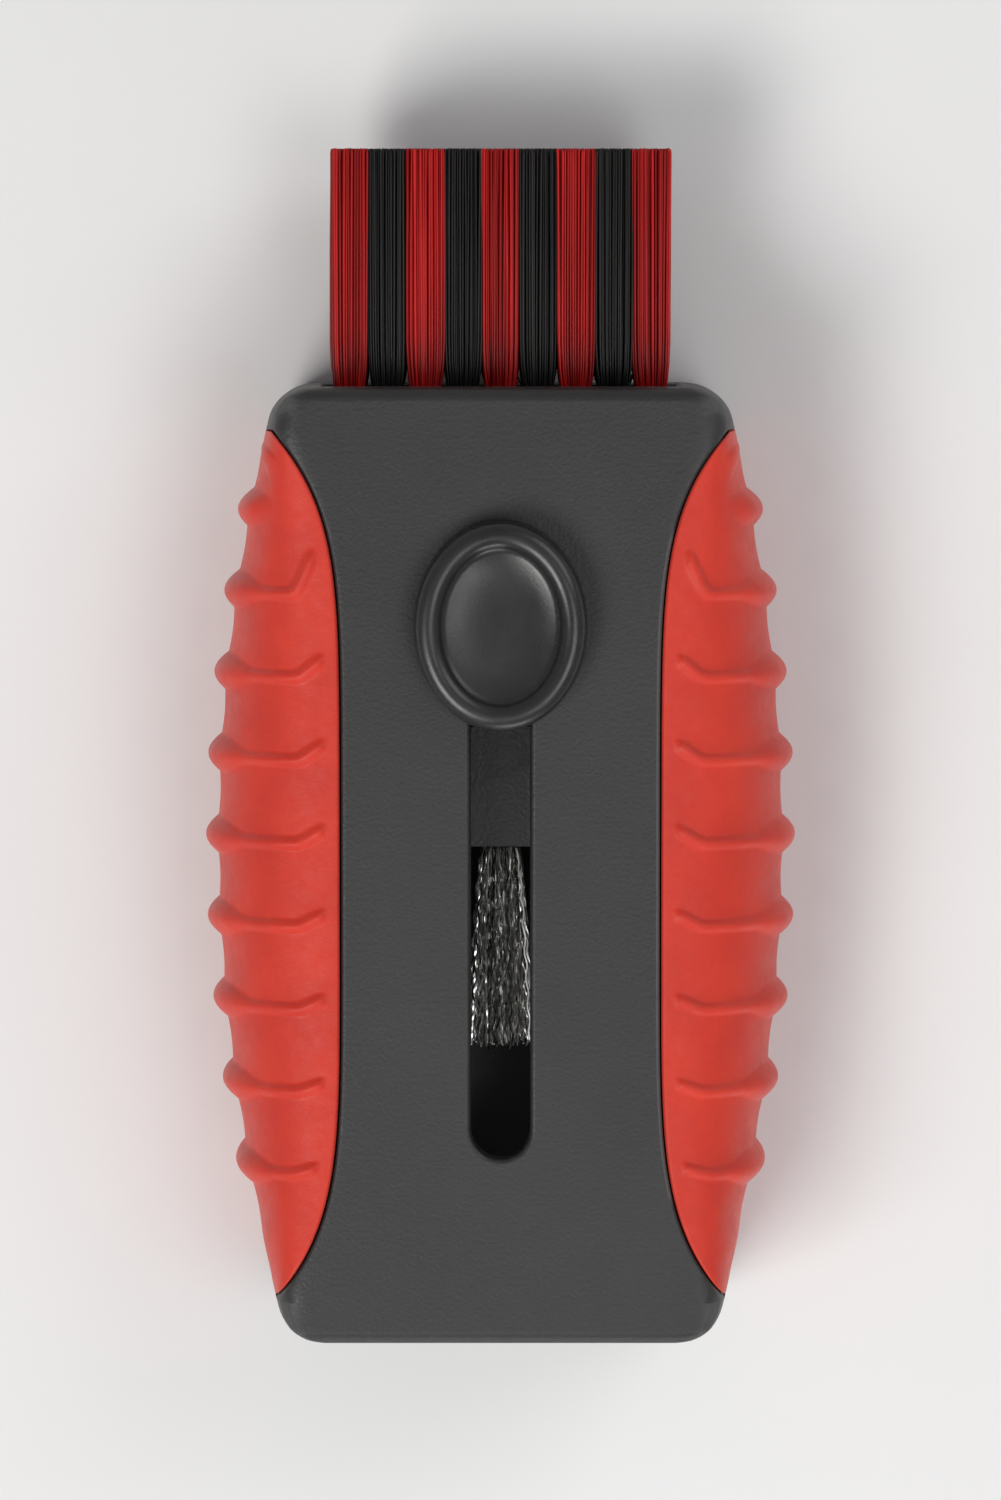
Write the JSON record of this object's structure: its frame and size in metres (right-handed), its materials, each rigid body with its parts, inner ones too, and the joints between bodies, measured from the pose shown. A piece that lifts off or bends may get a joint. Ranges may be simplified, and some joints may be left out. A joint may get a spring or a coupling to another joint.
{
  "type": "club groove brush",
  "caption": "Double-ended pocket brush for golf club grooves: a thumb button slides a nylon brush out of one end or a wire brush out of the other.",
  "frame": {"origin": "centre of the flat back face, which the brush lies on", "axes": "+X across the body, +Y towards the nylon brush, +Z out of the front face with the thumb button"},
  "size_m": [0.0424, 0.0849, 0.023],
  "materials": {
    "black_plastic": "satin moulded",
    "red_rubber": "soft matte",
    "red_nylon": "satin filament",
    "black_nylon": "satin filament",
    "steel_wire": "bright crimped wire",
    "anchor_steel": "plain",
    "spring_steel": "bright rolled",
    "screw_steel": "zinc plated"
  },
  "bodies": {
    "housing": {"front_shell": "black_plastic", "rear_shell": "black_plastic", "left_grip": "red_rubber", "right_grip": "red_rubber", "housing_screw_1": "screw_steel", "housing_screw_2": "screw_steel", "housing_screw_3": "screw_steel", "housing_screw_4": "screw_steel"},
    "carriage": {"brush_carriage": "black_plastic", "thumb_button": "black_plastic", "button_screw": "screw_steel", "detent_spring_left": "spring_steel", "detent_spring_right": "spring_steel", "nylon_tuft_1": "red_nylon", "nylon_tuft_2": "black_nylon", "nylon_tuft_3": "red_nylon", "nylon_tuft_4": "black_nylon", "nylon_tuft_5": "red_nylon", "nylon_tuft_6": "black_nylon", "nylon_tuft_7": "red_nylon", "nylon_tuft_8": "black_nylon", "nylon_tuft_9": "red_nylon", "nylon_anchor_1": "anchor_steel", "nylon_anchor_2": "anchor_steel", "nylon_anchor_3": "anchor_steel", "nylon_anchor_4": "anchor_steel", "nylon_anchor_5": "anchor_steel", "nylon_anchor_6": "anchor_steel", "nylon_anchor_7": "anchor_steel", "nylon_anchor_8": "anchor_steel", "nylon_anchor_9": "anchor_steel", "wire_tuft_1": "steel_wire", "wire_tuft_2": "steel_wire", "wire_tuft_3": "steel_wire", "wire_tuft_4": "steel_wire", "wire_tuft_5": "steel_wire", "wire_tuft_6": "steel_wire", "wire_tuft_7": "steel_wire", "wire_tuft_8": "steel_wire", "wire_tuft_9": "steel_wire", "wire_tuft_10": "steel_wire", "wire_anchor_1": "anchor_steel", "wire_anchor_2": "anchor_steel", "wire_anchor_3": "anchor_steel", "wire_anchor_4": "anchor_steel", "wire_anchor_5": "anchor_steel", "wire_anchor_6": "anchor_steel", "wire_anchor_7": "anchor_steel", "wire_anchor_8": "anchor_steel", "wire_anchor_9": "anchor_steel", "wire_anchor_10": "anchor_steel"}
  },
  "joints": [
    {"name": "brush_slide", "type": "slide", "parent": "housing", "child": "carriage", "axis": [0, -1, 0], "range_m": [0, 0.0346], "deforming": ["detent_spring_left", "detent_spring_right"]}
  ]
}
